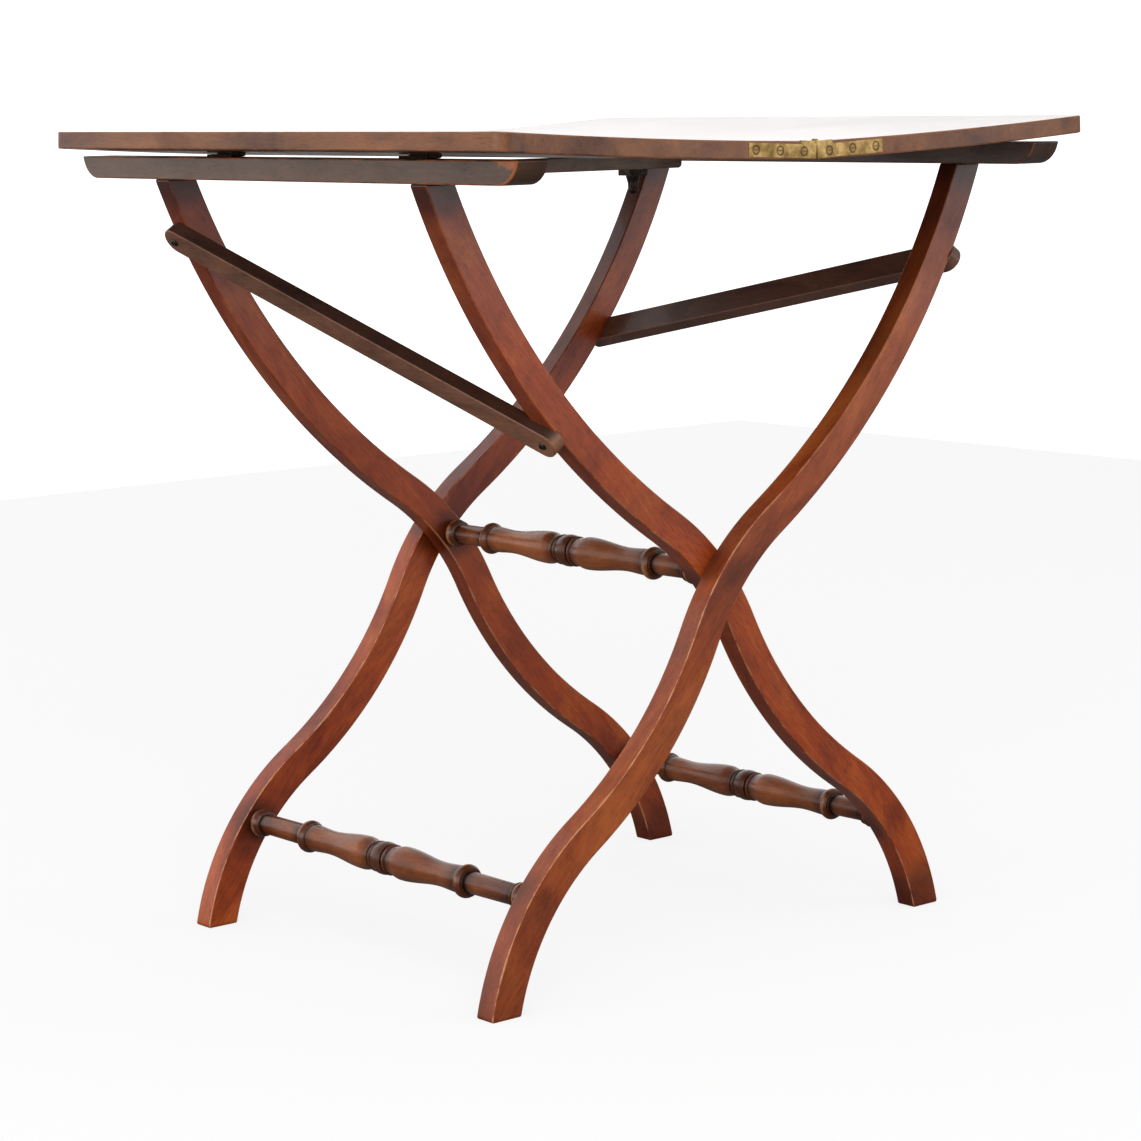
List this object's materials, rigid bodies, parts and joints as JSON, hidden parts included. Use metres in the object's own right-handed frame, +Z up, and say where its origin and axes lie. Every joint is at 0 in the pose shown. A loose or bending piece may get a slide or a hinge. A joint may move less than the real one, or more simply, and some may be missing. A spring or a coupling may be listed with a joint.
{
  "type": "folding coaching table",
  "caption": "Folding coaching table: a square two-leaf mahogany top on crossed frames of curved legs with turned stretchers.",
  "frame": {"origin": "on the floor, under the middle of the top", "axes": "+X along the top, across its hinge line, towards the rail that the outer frame carries; +Y along the hinge line; +Z up"},
  "size_m": [0.6406, 0.62, 0.7001],
  "materials": {
    "mahogany": "polished, aged mahogany",
    "dark_mahogany": "waxed, darkened mahogany",
    "brass": "aged, dull brass",
    "iron": "dark, waxed iron"
  },
  "bodies": {
    "outer_frame": {"outer_leg_near": "mahogany", "outer_leg_far": "mahogany", "right_rail": "dark_mahogany", "outer_stretcher": "dark_mahogany", "outer_brace": "dark_mahogany", "outer_brace_screws": "iron", "right_butt_rail_plates": "brass", "right_butt_rail_screws": "brass", "pivot_pins": "iron"},
    "right_leaf": {"right_leaf": "mahogany", "right_butt_leaf_plates": "brass", "right_butt_leaf_screws": "brass", "right_butt_pins": "iron", "near_card_hinge_right": "brass", "far_card_hinge_right": "brass", "card_hinge_right_screws": "brass", "lock_bar_spacer": "iron", "lock_bar_bolt": "iron", "lock_bar_knob": "iron"},
    "left_leaf": {"left_leaf": "mahogany", "left_butt_leaf_plates": "brass", "left_butt_leaf_screws": "brass", "left_butt_pins": "iron", "near_card_hinge_left": "brass", "far_card_hinge_left": "brass", "card_hinge_left_screws": "brass", "card_hinge_pins": "brass"},
    "inner_frame": {"inner_leg_near": "mahogany", "inner_leg_far": "mahogany", "left_rail": "dark_mahogany", "pivot_stretcher": "dark_mahogany", "inner_stretcher": "dark_mahogany", "inner_brace": "dark_mahogany", "inner_brace_screws": "iron", "left_butt_rail_plates": "brass", "left_butt_rail_screws": "brass", "pivot_washers": "brass"},
    "lock_bar": {"lock_bar": "dark_mahogany", "lock_bar_plate": "iron"}
  },
  "joints": [
    {"name": "top_fold", "type": "hinge", "parent": "right_leaf", "child": "left_leaf", "pos_m": [0, 0, 0.68561], "axis": [0, 1, 0], "range_deg": [0, 162.8]},
    {"name": "right_rail_hinge", "type": "hinge", "parent": "outer_frame", "child": "right_leaf", "pos_m": [0.26439, 0, 0.6806], "axis": [0, -1, 0], "range_deg": [0, 50.3]},
    {"name": "left_rail_hinge", "type": "hinge", "parent": "left_leaf", "child": "inner_frame", "pos_m": [-0.26439, 0, 0.6806], "axis": [0, -1, 0], "range_deg": [0, 50.3]},
    {"name": "lock_bar_swing", "type": "hinge", "parent": "right_leaf", "child": "lock_bar", "pos_m": [0.0785, 0, 0.6646], "axis": [0, 0, 1], "range_deg": [0, 90]}
  ],
  "couplings": [
    {"joint": "right_rail_hinge", "follows": "top_fold", "ratio": 0.30876},
    {"joint": "left_rail_hinge", "follows": "top_fold", "ratio": 0.30876}
  ]
}
